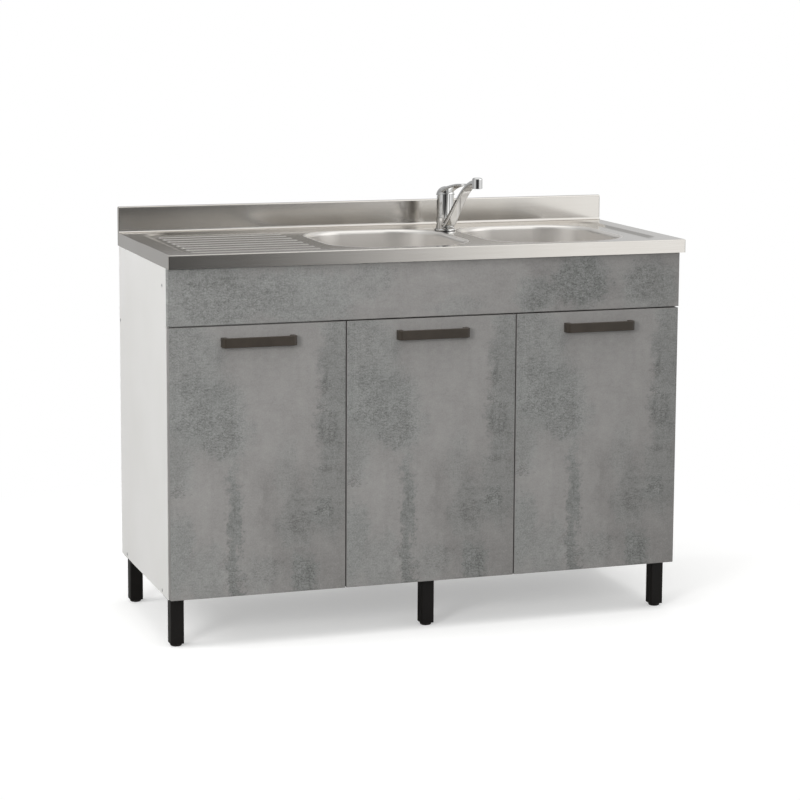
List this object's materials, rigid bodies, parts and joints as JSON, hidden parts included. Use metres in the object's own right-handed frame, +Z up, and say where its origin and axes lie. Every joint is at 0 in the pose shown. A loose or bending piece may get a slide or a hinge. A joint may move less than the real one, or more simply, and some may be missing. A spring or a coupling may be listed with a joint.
{
  "type": "kitchen sink unit",
  "caption": "Free-standing three-door kitchen sink base unit with drainer, twin bowls, raised back edge, single-lever tap and square legs.",
  "frame": {"origin": "on the floor, in the middle of the unit's overall length and depth", "axes": "+X to the right seen from the front, +Y to the back, +Z up"},
  "size_m": [1.2, 0.514, 0.996],
  "materials": {
    "white_melamine": "white melamine-faced chipboard",
    "concrete_laminate": "concrete-effect laminate on chipboard",
    "stainless_steel": "satin stainless steel sheet",
    "chrome": "chrome-plated brass",
    "zinc_steel": "bright zinc-plated steel",
    "brass": "machined brass",
    "handle_bronze": "matt brown-bronze coated zinc",
    "black_steel": "black powder-coated steel",
    "black_plastic": "black moulded plastic",
    "white_plastic": "white moulded polypropylene",
    "rubber": "black sealing rubber"
  },
  "bodies": {
    "carcass": {"side_panel_left": "white_melamine", "side_panel_right": "white_melamine", "bottom_panel": "white_melamine", "partition_panel": "white_melamine", "front_rail": "white_melamine", "rear_rail": "white_melamine", "fascia_board": "concrete_laminate", "fascia_blocks": "white_plastic", "carcass_screws": "zinc_steel", "door_bumpers": "rubber", "leg_tubes": "black_steel", "leg_plugs": "black_plastic", "sink_deck": "stainless_steel", "bowl_left": "stainless_steel", "bowl_right": "stainless_steel", "waste_left": "stainless_steel", "waste_right": "stainless_steel", "seals": "rubber", "waste_collars": "white_plastic", "drain_pipe_left": "white_plastic", "drain_pipe_right": "white_plastic", "trap_body": "white_plastic", "trap_cup": "white_plastic", "trap_outlet": "white_plastic", "tap_body": "chrome", "tap_cartridge": "white_plastic", "tap_dome": "chrome", "tap_shank": "brass", "tap_plate": "zinc_steel", "tap_nut": "brass", "hinge_arms_left": "zinc_steel", "hinge_arms_middle": "zinc_steel", "hinge_arms_right": "zinc_steel"},
    "door_left": {"door_left": "concrete_laminate", "handle_left": "handle_bronze", "handle_screws_left": "zinc_steel", "hinge_cups_left": "zinc_steel"},
    "link_left": {"hinge_links_left": "zinc_steel"},
    "door_middle": {"door_middle": "concrete_laminate", "handle_middle": "handle_bronze", "handle_screws_middle": "zinc_steel", "hinge_cups_middle": "zinc_steel"},
    "link_middle": {"hinge_links_middle": "zinc_steel"},
    "door_right": {"door_right": "concrete_laminate", "handle_right": "handle_bronze", "handle_screws_right": "zinc_steel", "hinge_cups_right": "zinc_steel"},
    "link_right": {"hinge_links_right": "zinc_steel"},
    "spout": {"tap_spout": "chrome", "tap_aerator": "white_plastic"},
    "lever_turntable": {"tap_turntable": "chrome"},
    "lever": {"tap_lever": "chrome"},
    "strainer_left": {"strainer_left": "stainless_steel"},
    "strainer_right": {"strainer_right": "stainless_steel"},
    "foot_front_left": {"foot_front_left": "black_plastic"},
    "foot_front_middle": {"foot_front_middle": "black_plastic"},
    "foot_front_right": {"foot_front_right": "black_plastic"},
    "foot_rear_left": {"foot_rear_left": "black_plastic"},
    "foot_rear_middle": {"foot_rear_middle": "black_plastic"},
    "foot_rear_right": {"foot_rear_right": "black_plastic"}
  },
  "joints": [
    {"name": "door_left_hinge", "type": "hinge", "parent": "carcass", "child": "door_left", "pos_m": [-0.5985, -0.237, 0.408], "axis": [0, 0, -1], "range_deg": [0, 95]},
    {"name": "link_left_swing", "type": "hinge", "parent": "carcass", "child": "link_left", "pos_m": [-0.5785, -0.223, 0.408], "axis": [0, 0, -1], "range_deg": [0, 90.25]},
    {"name": "door_middle_hinge", "type": "hinge", "parent": "carcass", "child": "door_middle", "pos_m": [-0.2025, -0.237, 0.408], "axis": [0, 0, -1], "range_deg": [0, 95]},
    {"name": "link_middle_swing", "type": "hinge", "parent": "carcass", "child": "link_middle", "pos_m": [-0.1825, -0.223, 0.408], "axis": [0, 0, -1], "range_deg": [0, 90.25]},
    {"name": "door_right_hinge", "type": "hinge", "parent": "carcass", "child": "door_right", "pos_m": [0.5865, -0.237, 0.408], "axis": [0, 0, 1], "range_deg": [0, 95]},
    {"name": "link_right_swing", "type": "hinge", "parent": "carcass", "child": "link_right", "pos_m": [0.5665, -0.223, 0.408], "axis": [0, 0, 1], "range_deg": [0, 90.25]},
    {"name": "spout_swivel", "type": "hinge", "parent": "carcass", "child": "spout", "pos_m": [0.154, 0.127, 0.857], "axis": [0, 0, 1], "range_deg": [-110, 110]},
    {"name": "lever_turn", "type": "hinge", "parent": "carcass", "child": "lever_turntable", "pos_m": [0.154, 0.127, 0.9385], "axis": [0, 0.2079, 0.9781], "range_deg": [-45, 45]},
    {"name": "lever_lift", "type": "hinge", "parent": "lever_turntable", "child": "lever", "pos_m": [0.154, 0.127, 0.9385], "axis": [-1, 0, 0], "range_deg": [0, 20]},
    {"name": "strainer_left_lift", "type": "slide", "parent": "carcass", "child": "strainer_left", "axis": [0, 0, 1], "range_m": [0, 0.06]},
    {"name": "strainer_right_lift", "type": "slide", "parent": "carcass", "child": "strainer_right", "axis": [0, 0, 1], "range_m": [0, 0.06]},
    {"name": "foot_front_left_turn", "type": "hinge", "parent": "carcass", "child": "foot_front_left", "pos_m": [-0.576, -0.188, 0], "axis": [0, 0, 1], "continuous": true},
    {"name": "foot_front_middle_turn", "type": "hinge", "parent": "carcass", "child": "foot_front_middle", "pos_m": [0, -0.188, 0], "axis": [0, 0, 1], "continuous": true},
    {"name": "foot_front_right_turn", "type": "hinge", "parent": "carcass", "child": "foot_front_right", "pos_m": [0.564, -0.188, 0], "axis": [0, 0, 1], "continuous": true},
    {"name": "foot_rear_left_turn", "type": "hinge", "parent": "carcass", "child": "foot_rear_left", "pos_m": [-0.576, 0.212, 0], "axis": [0, 0, 1], "continuous": true},
    {"name": "foot_rear_middle_turn", "type": "hinge", "parent": "carcass", "child": "foot_rear_middle", "pos_m": [0, 0.212, 0], "axis": [0, 0, 1], "continuous": true},
    {"name": "foot_rear_right_turn", "type": "hinge", "parent": "carcass", "child": "foot_rear_right", "pos_m": [0.564, 0.212, 0], "axis": [0, 0, 1], "continuous": true}
  ],
  "couplings": [
    {"joint": "link_left_swing", "follows": "door_left_hinge", "ratio": 0.95},
    {"joint": "link_middle_swing", "follows": "door_middle_hinge", "ratio": 0.95},
    {"joint": "link_right_swing", "follows": "door_right_hinge", "ratio": 0.95}
  ]
}
